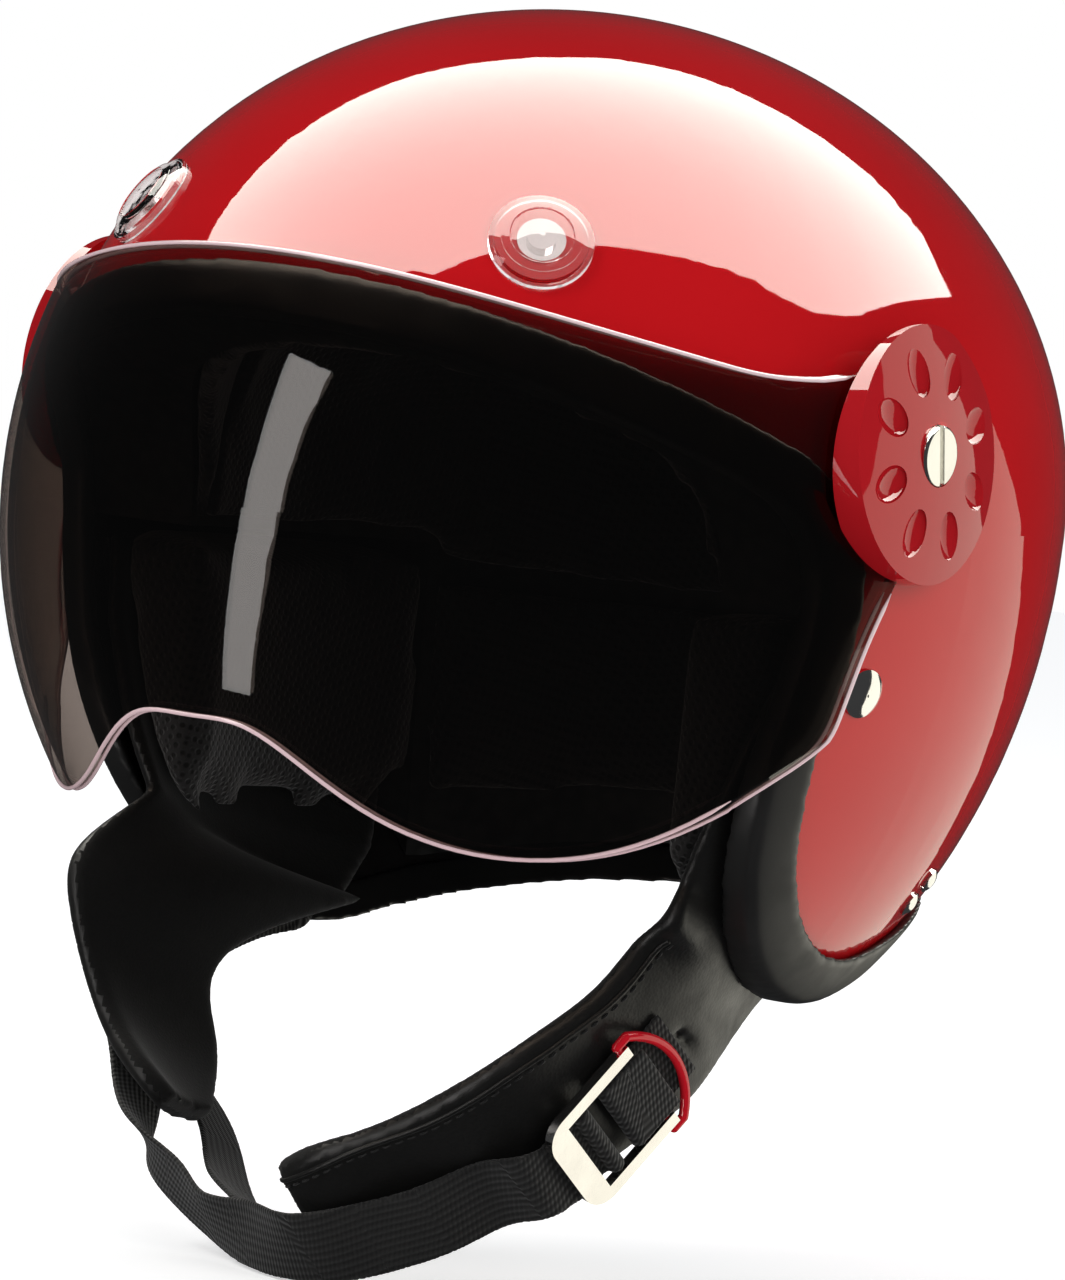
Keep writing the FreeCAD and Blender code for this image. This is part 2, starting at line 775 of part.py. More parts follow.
def visor(side_view):
    body = visor_envelope(0).cut(visor_envelope(visor_wall))
    body = body.common(side_view).common(visor_front())
    body = body.cut(x_cylinder(screw_shank_radius + running_clearance, 90, 140))
    return body.cut(flip(x_cylinder(screw_shank_radius + running_clearance, 90, 140)))


def disc_shape(side_view):
    t = math.radians(disc_tilt)
    axis = V(math.cos(t), 0, math.sin(t))
    rim = V(disc_rim_x, pivot_y, pivot_z)
    body = Part.makeCylinder(disc_radius, 30, rim - axis * 26, axis)
    ball_radius = (disc_radius ** 2 + disc_dome ** 2) / (2 * disc_dome)
    ball = Part.makeSphere(ball_radius, rim + axis * (disc_dome - ball_radius))
    body = body.common(ball)
    slope = (disc_skirt_back - disc_skirt_front) / (2 * disc_radius)
    middle = (disc_skirt_back + disc_skirt_front) / 2
    under = Part.makeBox(60, 160, 160, V(-60, -80, -80))
    under.rotate(V(0, 0, 0), V(0, 0, 1), -math.degrees(math.atan(slope)))
    under.translate(V(middle, pivot_y, pivot_z))
    body = body.cut(under)
    body = body.cut(visor_envelope(0).common(side_view))
    for i in range(dimple_count):
        angle = 2 * math.pi * (i + 0.5) / dimple_count
        grow = FreeCAD.Matrix()
        grow.scale(dimple_depth, dimple_width / 2, dimple_length / 2)
        bead = Part.makeSphere(1.0).transformGeometry(grow)
        bead.rotate(V(0, 0, 0), V(1, 0, 0), -math.degrees(angle))
        height = disc_dome * (1 - (dimple_circle / disc_radius) ** 2)
        bead.translate(V(disc_rim_x + height, pivot_y + dimple_circle * math.sin(angle),
                         pivot_z + dimple_circle * math.cos(angle)))
        bead.rotate(rim, V(0, 1, 0), -disc_tilt)
        body = body.cut(bead)
    body = body.cut(x_cylinder(screw_shank_radius + running_clearance, 90, 140))
    return body.cut(x_cylinder(screw_head_radius + hub_play, screw_seat_x, 140))


def coin_screw():
    top = screw_seat_x + running_clearance
    head = x_cylinder(screw_head_radius, top, top + screw_head_height)
    face = [e for e in head.Edges if abs(e.CenterOfMass.x - top - screw_head_height) < 0.01]
    head = head.makeFillet(0.8, face[:1])
    slot = Part.makeBox(10, coin_slot_width, 30, V(top + screw_head_height - coin_slot_depth,
                                                  pivot_y - coin_slot_width / 2, pivot_z - 15))
    slot.rotate(V(0, pivot_y, pivot_z), V(1, 0, 0), 12)
    shank_end = shell_x(pivot_y, pivot_z, 0) + 0.6
    shank = x_cylinder(screw_shank_radius, shank_end, top)
    thread = x_cylinder(screw_thread_radius, nut_inner_x + 0.5, shank_end)
    return head.cut(slot).fuse(shank).fuse(thread).removeSplitter()


def pivot_spacer():
    body = x_cylinder(spacer_radius, 100, spacer_top).cut(cap(0))
    return body.cut(x_cylinder(screw_shank_radius + running_clearance, 90, 140))


def pivot_washer():
    body = x_cylinder(washer_radius, spacer_top + running_clearance,
                      spacer_top + running_clearance + washer_thickness)
    return body.cut(x_cylinder(screw_shank_radius + running_clearance, 90, 140))


def pivot_nut():
    flange = layer(shell_wall, shell_wall + nut_flange).common(x_cylinder(nut_flange_radius, 90, 130))
    barrel = x_cylinder(nut_barrel_radius, nut_inner_x, shell_x(pivot_y, pivot_z, 0) - nut_below_skin)
    body = flange.fuse(barrel).removeSplitter()
    return body.cut(x_cylinder(screw_thread_radius, 90, 140))


# ------------------------------------------------------------------ press studs and rivets

def stud_frame(base, normal, shape):
    turn = FreeCAD.Rotation(V(0, 0, 1), normal)
    return shape.transformed(FreeCAD.Placement(base, turn).toMatrix())


def dome(radius, height):
    ball_radius = (radius ** 2 + height ** 2) / (2 * height)
    ball = Part.makeSphere(ball_radius, V(0, 0, height - ball_radius))
    return ball.common(Part.makeCylinder(radius, 20, V(0, 0, 0)))


def snap_cap(side):
    base, normal = snap_axis(side)
    skirt = Part.makeCylinder(snap_cap_radius, 4.0, V(0, 0, -2.8))
    outer = dome(snap_cap_radius, snap_cap_height - 1.2)
    outer.translate(V(0, 0, 1.2))
    inner = dome(snap_cap_radius - snap_cap_wall, snap_cap_height - 1.2 - snap_cap_wall)
    inner.translate(V(0, 0, 1.2))
    hollow = Part.makeCylinder(snap_cap_radius - snap_cap_wall, 4.0, V(0, 0, -2.8))
    ring = Part.makeCylinder(snap_ring_radius + 1.0, 6.0, V(0, 0, 2.4))
    ring = ring.cut(Part.makeCylinder(snap_ring_radius - 1.0, 8.0, V(0, 0, 1.4)))
    raised = dome(snap_cap_radius, snap_cap_height - 1.2 + snap_ring_height)
    raised.translate(V(0, 0, 1.2))
    body = skirt.fuse(outer).fuse(ring.common(raised)).cut(hollow.fuse(inner))
    return stud_frame(base, normal, body).cut(cap(0))


def snap_stud(side):
    base, normal = snap_axis(side)
    drum = Part.makeCylinder(snap_stud_radius, 1.4, V(0, 0, -0.4))
    neck = Part.makeCylinder(snap_stud_radius - 2.2, snap_stud_height - 1.0, V(0, 0, 1.0))
    shank = Part.makeCylinder(snap_shank_radius - running_clearance, shell_wall + 1.6,
                              V(0, 0, -shell_wall - 1.4))
    head = stud_frame(base, normal, drum.fuse(neck)).cut(cap(0))
    return head.fuse(stud_frame(base, normal, shank)).removeSplitter()


def snap_back(side):
    base, normal = snap_axis(side)
    ring = Part.makeCylinder(snap_back_radius, 30, V(0, 0, -20))
    ring = ring.cut(Part.makeCylinder(snap_shank_radius, 40, V(0, 0, -25)))
    return stud_frame(base, normal, ring).common(layer(shell_wall, shell_wall + 1.3))


def rivet(place, side, radius, height, shank_radius):
    base, normal = rivet_axis(place, side)
    lip = Part.makeCylinder(radius, 1.4, V(0, 0, -0.8))
    top = dome(radius, height - 0.6)
    top.translate(V(0, 0, 0.6))
    head = stud_frame(base, normal, lip.fuse(top)).cut(cap(0))
    depth = flap_depth + flap_thickness + 2 * seat_gap + plate_thickness
    shank = Part.makeCylinder(shank_radius - running_clearance, depth + 0.4, V(0, 0, -depth))
    return head.fuse(stud_frame(base, normal, shank)).removeSplitter()


def anchor_plate(places, side, radius, shank_radius):
    start = flap_depth + flap_thickness + 2 * seat_gap
    body = None
    for place in places:
        base, normal = rivet_axis(place, side)
        disc = Part.makeCylinder(radius, 40, base - normal * 30, normal)
        body = disc if body is None else body.fuse(disc)
    body = body.common(layer(start, start + plate_thickness))
    for place in places:
        base, normal = rivet_axis(place, side)
        body = body.cut(Part.makeCylinder(shank_radius, 60, base - normal * 40, normal))
    return body.removeSplitter()


# ------------------------------------------------------------------ the whole helmet

def put(name, shape):
    save(name, shape)
    solid_count = len(shape.Solids)
    print(name, "ok" if shape.isValid() else "INVALID", solid_count, round(shape.Volume, 1))


def build_shell(straps, flaps):
    shell = outer_shell()
    put("outer_shell", shell)
    blank = cap(0).cut(cap(-shell_wall)).common(keep(trim_lap))
    trim = edge_trim(blank)
    for soft in (straps["main"], straps["rear"], flaps[LEFT], flaps[RIGHT]):
        trim = trim.cut(soft)
    put("edge_trim", trim)
    zone = pad_zone()
    put("impact_liner", impact_liner(zone))
    comfort = comfort_blank(zone)
    put("brow_pad", brow_pad(comfort))
    put("nape_pad", nape_pad(comfort))
    put("crown_pad", crown_pad(comfort))


def rivet_cut(side):
    tools = [flap_holes(side)]
    for place in rear_rivets:
        base, normal = rivet_axis(place, side)
        tools.append(Part.makeCylinder(rear_rivet_shank, 60, base - normal * 40, normal))
    return Part.makeCompound(tools)


def plate_cut(side):
    rear = anchor_plate(rear_rivets, side, rear_plate_radius, rear_rivet_shank)
    return Part.makeCompound([rear, anchor_plate((cheek_rivet,), side, plate_radius, rivet_shank_radius)])


def make_straps():
    straps = {"left": strap_left(), "main": strap_main()}
    straps["rear"] = strap_rear().cut(straps["main"])
    flaps = {LEFT: ear_flap(LEFT).cut(rivet_cut(LEFT)), RIGHT: ear_flap(RIGHT).cut(rivet_cut(RIGHT))}
    flaps[LEFT] = flaps[LEFT].cut(straps["left"]).cut(buttonhole()).cut(plate_cut(LEFT))
    flaps[RIGHT] = flaps[RIGHT].cut(plate_cut(RIGHT)).cut(straps["rear"])
    return straps, flaps


def build_straps(straps, flaps):
    put("ear_flap_left", flaps[LEFT])
    put("ear_flap_right", flaps[RIGHT])
    put("strap_left", straps["left"])
    put("strap_main", straps["main"].cut(rivet_cut(RIGHT)))
    put("strap_rear_right", straps["rear"].cut(rivet_cut(RIGHT)))
    put("buckle_frame", buckle_frame())
    put("keeper_pin", buckle_pin(keeper_pin_at))
    put("slide_bar", buckle_pin(slide_bar_at))
    put("release_loop", release_loop())


def build_visor():
    side_view = visor_side()
    put("visor", visor(side_view))
    disc = disc_shape(side_view)
    parts = {"pivot_disc": disc, "coin_screw": coin_screw(), "pivot_spacer": pivot_spacer(),
             "pivot_washer": pivot_washer(), "pivot_nut": pivot_nut()}
    for name in sorted(parts):
        put(name + "_left", parts[name])
        put(name + "_right", flip(parts[name]))


def build_fasteners():
    for side, word in ((LEFT, "left"), (RIGHT, "right")):
        put("cheek_pad_" + word, cheek_pad(side).cut(all_flaps[side]))
        put("snap_cap_" + word, snap_cap(side))
        put("snap_stud_" + word, snap_stud(side))
        put("snap_back_" + word, snap_back(side))
        put("cheek_rivet_" + word, rivet(cheek_rivet, side, rivet_radius, rivet_dome, rivet_shank_radius))
        put("cheek_plate_" + word, anchor_plate((cheek_rivet,), side, plate_radius, rivet_shank_radius))
        pair = [rivet(p, side, rear_rivet_radius, 1.8, rear_rivet_shank) for p in rear_rivets]
        put("rear_rivets_" + word, Part.makeCompound(pair))
        put("rear_plate_" + word, anchor_plate(rear_rivets, side, rear_plate_radius, rear_rivet_shank))


all_straps, all_flaps = make_straps()
build_straps(all_straps, all_flaps)
build_shell(all_straps, all_flaps)
build_visor()
build_fasteners()
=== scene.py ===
import bmesh
import bpy
import json
import math
import numpy as np
from mathutils import Matrix, Vector
from mathutils.bvhtree import BVHTree


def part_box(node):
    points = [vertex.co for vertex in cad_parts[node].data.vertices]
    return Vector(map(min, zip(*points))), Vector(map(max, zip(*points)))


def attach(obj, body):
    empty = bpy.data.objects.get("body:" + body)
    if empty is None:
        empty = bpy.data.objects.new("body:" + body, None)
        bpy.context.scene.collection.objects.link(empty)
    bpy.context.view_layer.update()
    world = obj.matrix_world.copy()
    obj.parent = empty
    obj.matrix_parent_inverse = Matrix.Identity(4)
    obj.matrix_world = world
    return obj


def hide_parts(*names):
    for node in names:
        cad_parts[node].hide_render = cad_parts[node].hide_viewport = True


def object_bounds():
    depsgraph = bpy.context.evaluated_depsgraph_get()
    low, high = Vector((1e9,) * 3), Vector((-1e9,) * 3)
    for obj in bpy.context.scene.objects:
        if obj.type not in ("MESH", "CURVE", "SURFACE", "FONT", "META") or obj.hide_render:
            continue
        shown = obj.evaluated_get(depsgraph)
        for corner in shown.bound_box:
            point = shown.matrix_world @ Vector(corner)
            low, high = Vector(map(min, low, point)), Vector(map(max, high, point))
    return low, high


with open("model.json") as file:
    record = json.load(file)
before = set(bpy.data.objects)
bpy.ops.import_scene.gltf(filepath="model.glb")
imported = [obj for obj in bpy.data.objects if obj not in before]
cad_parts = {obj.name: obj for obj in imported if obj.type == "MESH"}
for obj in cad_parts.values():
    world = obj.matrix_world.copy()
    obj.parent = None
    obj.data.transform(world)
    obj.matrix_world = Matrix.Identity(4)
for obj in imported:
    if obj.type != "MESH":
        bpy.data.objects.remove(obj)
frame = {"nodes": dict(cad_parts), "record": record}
cad_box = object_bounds()
NODES = frame["nodes"]
scene = bpy.context.scene

# The shell's outer skin is half an ellipsoid above the head seat and a deeper half below it, in metres.
SHELL_HALF_WIDTH = 0.121
SHELL_HALF_LENGTH = 0.140
SHELL_RISE = 0.116
SHELL_DROP = 0.156


# ---------------------------------------------------------------- camera and light
CAMERA_AZIMUTH = math.radians(34.0)
CAMERA_ELEVATION = math.radians(2.4)
CAMERA_ROLL = math.radians(6.5)
CAMERA_DISTANCE = 1.861
CAMERA_LEFT = 0.00304
CAMERA_DOWN = 0.03802
CAMERA_AIM = Vector((0.0, -0.0056, -0.002))
CAMERA_LENS = 211.47
SENSOR_WIDTH = 36.0
FARTHEST_SEEN = 50.0

LAMP_COLOUR = (1.0, 0.98, 0.95)
PANEL_COLUMNS = 48
PANEL_ROWS = 8
ROOM_COLOUR = (0.95, 0.97, 1.0, 1.0)
ROOM_LIGHT = 0.58
ROOM_MIRRORED = 0.045
WHITE = (1.0, 1.0, 1.0, 1.0)

FLOOR_GAP = 0.0005
FLOOR_RADIUS = 6.0
FLOOR_RINGS = 24
FLOOR_TURNS = 64
FLOOR_COLOUR = (0.9, 0.9, 0.9, 1.0)
FLOOR_LIFT = 0.42


def place_camera():
    az, el, roll = CAMERA_AZIMUTH, CAMERA_ELEVATION, CAMERA_ROLL
    back = Vector((math.sin(az) * math.cos(el), -math.cos(az) * math.cos(el), math.sin(el)))
    right = Vector((math.cos(az), math.sin(az), 0.0))
    up = back.cross(right)
    across = right * math.cos(roll) + up * math.sin(roll)
    above = up * math.cos(roll) - right * math.sin(roll)
    where = back * CAMERA_DISTANCE - across * CAMERA_LEFT - above * CAMERA_DOWN + CAMERA_AIM
    data = bpy.data.cameras.new("camera")
    data.lens = CAMERA_LENS
    data.sensor_width = SENSOR_WIDTH
    data.clip_end = FARTHEST_SEEN
    cam = bpy.data.objects.new("camera", data)
    cam.matrix_world = Matrix((
        (across.x, above.x, back.x, where.x),
        (across.y, above.y, back.y, where.y),
        (across.z, above.z, back.z, where.z),
        (0.0, 0.0, 0.0, 1.0)))
    scene.collection.objects.link(cam)
    scene.camera = cam


def add_node(tree, kind, inputs=(), **props):
    # a shader node, each input given as a value or as the socket that feeds it
    made = tree.nodes.new("ShaderNode" + kind)
    for key, value in props.items():
        setattr(made, key, value)
    for key, value in dict(inputs).items():
        if isinstance(value, bpy.types.NodeSocket):
            tree.links.new(value, made.inputs[key])
        else:
            made.inputs[key].default_value = value
    return made


def empty_tree(owner):
    # the node tree of a new material or world, with its default nodes taken out
    owner.use_nodes = True
    owner.node_tree.nodes.clear()
    return owner.node_tree


def area_light(name, at, size, power):
    # a round lamp turned towards the head seat, which no reflection shows
    data = bpy.data.lights.new(name, "AREA")
    data.shape = "DISK"
    data.size = size
    data.energy = power
    data.color = LAMP_COLOUR
    lamp = bpy.data.objects.new(name, data)
    lamp.location = at
    lamp.rotation_euler = (-Vector(at)).to_track_quat("-Z", "Y").to_euler()
    scene.collection.objects.link(lamp)
    lamp.visible_glossy = False


def smooth_row(row, count):
    # points evenly spaced by index along a smooth run through the row
    pts = [Vector(p) for p in row]
    out = []
    for i in range(count):
        t = i / (count - 1) * (len(pts) - 1)
        k = min(int(t), len(pts) - 2)
        f = t - k
        a, b = pts[max(k - 1, 0)], pts[k]
        c, d = pts[k + 1], pts[min(k + 2, len(pts) - 1)]
        out.append(0.5 * (2 * b + (c - a) * f + (2 * a - 5 * b + 4 * c - d) * f * f
                          + (3 * b - a - 3 * c + d) * f ** 3))
    return out


def softbox(name, upper, lower, strength, fade, colour):
    # a bright curved panel that only glossy surfaces see, its glow fading from the upper to the lower row
    above, below = smooth_row(upper, PANEL_COLUMNS), smooth_row(lower, PANEL_COLUMNS)
    verts = []
    glow = []
    for row in range(PANEL_ROWS + 1):
        t = row / PANEL_ROWS
        verts.extend(a.lerp(b, t) for a, b in zip(above, below))
        glow.extend([fade[0] * (1 - t) + fade[1] * t] * PANEL_COLUMNS)
    n = PANEL_COLUMNS
    faces = [(r * n + i, r * n + i + 1, (r + 1) * n + i + 1, (r + 1) * n + i)
             for r in range(PANEL_ROWS) for i in range(n - 1)]
    mesh = bpy.data.meshes.new(name)
    mesh.from_pydata(verts, [], faces)
    mesh.attributes.new("glow", "FLOAT", "POINT").data.foreach_set("value", glow)
    obj = bpy.data.objects.new(name, mesh)
    scene.collection.objects.link(obj)
    mat = bpy.data.materials.new(name)
    tree = empty_tree(mat)
    read = add_node(tree, "Attribute", attribute_name="glow")
    gain = add_node(tree, "Math", {0: read.outputs["Fac"], 1: strength}, operation="MULTIPLY")
    emit = add_node(tree, "Emission", {"Color": (*colour, 1.0), "Strength": gain.outputs[0]})
    add_node(tree, "OutputMaterial", {"Surface": emit.outputs[0]})
    mesh.materials.append(mat)
    obj.visible_camera = False
    obj.visible_diffuse = False
    obj.visible_transmission = False
    obj.visible_shadow = False


def place_lamps():
    area_light("key_light", at=(-1.2, -1.9, 2.0), size=1.4, power=34.0)
    area_light("fill_light", at=(2.2, -1.0, 0.9), size=1.4, power=16.0)
    area_light("back_light", at=(0.9, 2.0, 1.2), size=1.2, power=10.0)


def hang_panels():
    # each panel lies where the crown, the left rear side or the visor mirrors it towards the camera
    softbox("crown_panel",
            upper=[(-1.36, -0.35, 0.90), (-1.23, 0.04, 1.10), (-1.00, 0.43, 1.23), (-0.67, 0.72, 1.31),
                   (-0.43, 0.96, 1.25), (-0.11, 1.17, 1.14), (0.20, 1.33, 0.95), (0.49, 1.39, 0.76)],
            lower=[(-1.29, -0.48, 0.95), (-0.64, -1.01, 1.21), (-0.02, -1.11, 1.30), (0.37, -0.78, 1.47),
                   (0.71, -0.36, 1.50), (0.98, 0.07, 1.37), (1.17, 0.61, 1.04), (0.86, 1.10, 0.92)],
            strength=11.0, fade=(0.82, 1.0), colour=(1.0, 0.98, 0.9))
    softbox("side_panel",
            upper=[(0.68, 1.49, 0.29), (0.60, 1.54, 0.15), (0.40, 1.60, -0.08), (0.06, 1.61, -0.34),
                   (-0.21, 1.55, -0.51), (-0.35, 1.51, -0.54)],
            lower=[(0.99, 1.05, 0.84), (1.46, 0.80, -0.27), (1.36, 0.75, -0.66), (1.15, 0.77, -0.97),
                   (0.90, 0.91, -1.10), (0.54, 1.14, -1.11)],
            strength=1.25, fade=(1.0, 1.0), colour=(1.0, 0.97, 0.84))
    softbox("strip_panel",
            upper=[(-0.40, -1.45, 0.85), (-0.44, -1.63, 0.40), (-0.51, -1.66, -0.13), (-0.59, -1.51, -0.63),
                   (-0.67, -1.23, -1.01)],
            lower=[(-0.05, -1.54, 0.79), (-0.14, -1.69, 0.38), (-0.22, -1.73, -0.10), (-0.33, -1.59, -0.63),
                   (-0.47, -1.29, -1.06)],
            strength=5.0, fade=(1.0, 1.0), colour=(1.0, 0.97, 0.95))


def fill_world():
    # the camera, and what is seen through the visor, get white; the part gets a dim cool room
    world = bpy.data.worlds.new("studio")
    scene.world = world
    tree = empty_tree(world)
    ray = add_node(tree, "LightPath").outputs
    level = add_node(tree, "MapRange", {"Value": ray["Is Glossy Ray"],
                                        "To Min": ROOM_LIGHT, "To Max": ROOM_MIRRORED})
    room = add_node(tree, "Background", {"Color": ROOM_COLOUR, "Strength": level.outputs["Result"]})
    white = add_node(tree, "Background", {"Color": WHITE, "Strength": 1.0})
    seen = add_node(tree, "Math", {0: ray["Is Camera Ray"], 1: ray["Is Transmission Ray"]},
                    operation="MAXIMUM")
    mix = add_node(tree, "MixShader", {0: seen.outputs[0], 1: room.outputs[0], 2: white.outputs[0]})
    add_node(tree, "OutputWorld", {"Surface": mix.outputs[0]})


def lay_floor():
    # a round pale floor just under the part, lifted towards white for the camera alone
    low = cad_box[0][2] - FLOOR_GAP
    turns = FLOOR_TURNS
    verts = []
    for r in range(FLOOR_RINGS + 1):
        radius = FLOOR_RADIUS * (r / FLOOR_RINGS) ** 2
        for k in range(turns):
            a = 2 * math.pi * k / turns
            verts.append((radius * math.cos(a), radius * math.sin(a), low))
    faces = [(r * turns + k, r * turns + (k + 1) % turns, (r + 1) * turns + (k + 1) % turns,
              (r + 1) * turns + k) for r in range(FLOOR_RINGS) for k in range(turns)]
    mesh = bpy.data.meshes.new("studio_floor")
    mesh.from_pydata(verts, [], faces)
    floor = bpy.data.objects.new("studio_floor", mesh)
    scene.collection.objects.link(floor)
    mat = bpy.data.materials.new("studio_floor")
    tree = empty_tree(mat)
    ray = add_node(tree, "LightPath").outputs
    gain = add_node(tree, "Math", {0: ray["Is Camera Ray"], 1: FLOOR_LIFT}, operation="MULTIPLY")
    matt = add_node(tree, "BsdfDiffuse", {"Color": FLOOR_COLOUR})
    glow = add_node(tree, "Emission", {"Strength": gain.outputs[0]})
    both = add_node(tree, "AddShader", {0: matt.outputs[0], 1: glow.outputs[0]})
    add_node(tree, "OutputMaterial", {"Surface": both.outputs[0]})
    mesh.materials.append(mat)
    floor.visible_glossy = False


# ---------------------------------------------------------------- materials
UNDER_SKIN = 0.988
BARE_COMPOSITE = (0.012, 0.011, 0.011, 1.0)
RIB_PITCH = 0.0021
PICK_PITCH = 0.00125
PICK_SLANT = 0.45
HEAD_ON_MIRROR = 0.04


class Shader:
    """A material under construction: one Principled shader and helpers for the nodes that feed it.

    The scales of noise and cells are per metre of the part, and bump distances are metres."""

    def __init__(self, name):
        self.material = bpy.data.materials.new(name)
        self.material.use_nodes = True
        self.tree = self.material.node_tree
        self.bsdf = self.tree.nodes["Principled BSDF"]
        self.where = self.node("TexCoord").outputs["Object"]

    def set(self, **values):
        for key, value in values.items():
            self.bsdf.inputs[key.replace("_", " ")].default_value = value

    def node(self, kind, inputs=(), **props):
        return add_node(self.tree, kind, inputs, **props)

    def noise(self, scale, detail=3.0, rough=0.5, where=None):
        return self.node("TexNoise", {"Vector": where or self.where, "Scale": scale, "Detail": detail,
                                      "Roughness": rough}).outputs["Fac"]

    def cells(self, scale, random=1.0, where=None):
        return self.node("TexVoronoi", {"Vector": where or self.where, "Scale": scale,
                                        "Randomness": random}).outputs["Distance"]

    def math(self, what, a, b=0.0):
        return self.node("Math", {0: a, 1: b}, operation=what).outputs[0]

    def sum(self, a, b):
        return self.math("ADD", a, b)

    def times(self, a, b):
        return self.math("MULTIPLY", a, b)

    def ramp(self, value, low, high, start=0.0, stop=1.0):
        made = self.node("ValToRGB", {"Fac": value})
        made.color_ramp.elements[0].position = start
        made.color_ramp.elements[1].position = stop
        made.color_ramp.elements[0].color = (*low, 1.0)
        made.color_ramp.elements[1].color = (*high, 1.0)
        return made.outputs["Color"]

    def span(self, value, low, high, start=0.0, stop=1.0):
        made = self.node("MapRange", {"Value": value, "From Min": start, "From Max": stop,
                                      "To Min": low, "To Max": high})
        return made.outputs["Result"]

    def colour(self, socket):
        self.tree.links.new(socket, self.bsdf.inputs["Base Color"])

    def rough(self, socket):
        self.tree.links.new(socket, self.bsdf.inputs["Roughness"])

    def bump(self, height, distance, strength=1.0):
        made = self.node("Bump", {"Height": height, "Distance": distance, "Strength": strength})
        self.tree.links.new(made.outputs["Normal"], self.bsdf.inputs["Normal"])


def bare_under_skin(s, paint):
    # the paint outside, and bare dark composite where the surface lies under the shell's outer skin
    reach = []
    for height in (SHELL_RISE, SHELL_DROP):
        shares = (1 / SHELL_HALF_WIDTH, 1 / SHELL_HALF_LENGTH, 1 / height)
        scaled = s.node("VectorMath", {0: s.where, 1: shares}, operation="MULTIPLY").outputs[0]
        reach.append(s.node("VectorMath", {0: scaled}, operation="LENGTH").outputs["Value"])
    below = s.math("LESS_THAN", s.node("SeparateXYZ", {0: s.where}).outputs["Z"], 0.0)
    size = s.node("Mix", {"Factor": below, "A": reach[0], "B": reach[1]}).outputs["Result"]
    inner = s.math("LESS_THAN", size, UNDER_SKIN)
    # a Mix node's colours are its sockets 6 and 7, and its colour result is output 2
    return s.node("Mix", {0: inner, 6: paint, 7: BARE_COMPOSITE}, data_type="RGBA").outputs[2]


def lacquer(name, dark, light, bare_inside=False):
    # clear gloss over an almost even colour
    s = Shader(name)
    s.set(Coat_Weight=1.0, Coat_Roughness=0.025, Coat_IOR=1.5, Specular_IOR_Level=0.0)
    paint = s.ramp(s.noise(9.0, detail=2.0), dark, light, 0.35, 0.65)
    s.colour(bare_under_skin(s, paint) if bare_inside else paint)
    s.rough(s.span(s.noise(60.0), 0.42, 0.5))
    s.bump(s.noise(420.0, detail=1.0), distance=0.00002, strength=0.25)
    return s.material


def leatherette(name, dark, light):
    # fine pebbled grain over shallow wrinkles
    s = Shader(name)
    s.set(Specular_IOR_Level=0.5, Sheen_Weight=0.08, Sheen_Roughness=0.4)
    grain = s.cells(1100.0)
    wrinkle = s.noise(130.0, detail=5.0, rough=0.6)
    tone = s.sum(s.times(grain, 0.35), s.times(s.noise(22.0), 0.65))
    s.colour(s.ramp(tone, dark, light, 0.25, 0.75))
    s.rough(s.span(wrinkle, 0.34, 0.52, 0.3, 0.7))
    s.bump(s.sum(s.times(grain, 0.5), wrinkle), distance=0.00012, strength=0.6)
    return s.material


def air_mesh(name, dark, light):
    # spacer cloth: an even net of holes over a dark ground
    s = Shader(name)
    s.set(Specular_IOR_Level=0.25, Sheen_Weight=0.25, Sheen_Roughness=0.5)
    turned = s.node("Mapping", {"Vector": s.where, "Rotation": (0.6, 0.35, 0.785)}).outputs["Vector"]
    hole = s.cells(540.0, random=0.12, where=turned)
    net = s.span(hole, 0.0, 1.0, 0.28, 0.5)
    s.colour(s.ramp(s.times(net, s.span(s.noise(35.0), 0.6, 1.0)), dark, light))
    s.rough(s.span(s.noise(90.0), 0.75, 0.95))
    s.bump(net, distance=0.0003, strength=0.8)
    return s.material


def brushed_cloth(name, dark, light):
    # short napped lining: fine uneven fibres with a soft sheen
    s = Shader(name)
    s.set(Specular_IOR_Level=0.2, Sheen_Weight=0.12, Sheen_Roughness=0.5)
    fibre = s.noise(1400.0, rough=0.6)
    s.colour(s.ramp(s.times(fibre, s.span(s.noise(40.0), 0.6, 1.0)), dark, light, 0.2, 0.7))
    s.rough(s.span(s.noise(200.0), 0.8, 0.95))
    s.bump(fibre, distance=0.00015, strength=0.6)
    return s.material


def webbing(name):
    # ribs side by side across the strap and slanting picks over them, from the strap's own map
    s = Shader(name)
    s.set(Specular_IOR_Level=0.35, Sheen_Weight=0.15, Sheen_Roughness=0.45)
    split = s.node("SeparateXYZ", {0: s.node("UVMap", uv_map="strap").outputs["UV"]})
    along, across = split.outputs[0], split.outputs[1]
    rib = s.math("SINE", s.times(across, 2 * math.pi / RIB_PITCH))
    slanted = s.sum(along, s.times(across, PICK_SLANT))
    pick = s.math("SINE", s.times(slanted, 2 * math.pi / PICK_PITCH))
    weave = s.sum(s.times(rib, 0.6), s.times(pick, 0.4))
    tone = s.sum(s.span(weave, 0.0, 0.7, -1.0, 1.0), s.times(s.noise(40.0), 0.3))
    s.colour(s.ramp(tone, (0.004, 0.004, 0.0042), (0.02, 0.0195, 0.019)))
    s.rough(s.span(s.noise(80.0), 0.55, 0.8))
    s.bump(weave, distance=0.00018, strength=0.9)
    return s.material


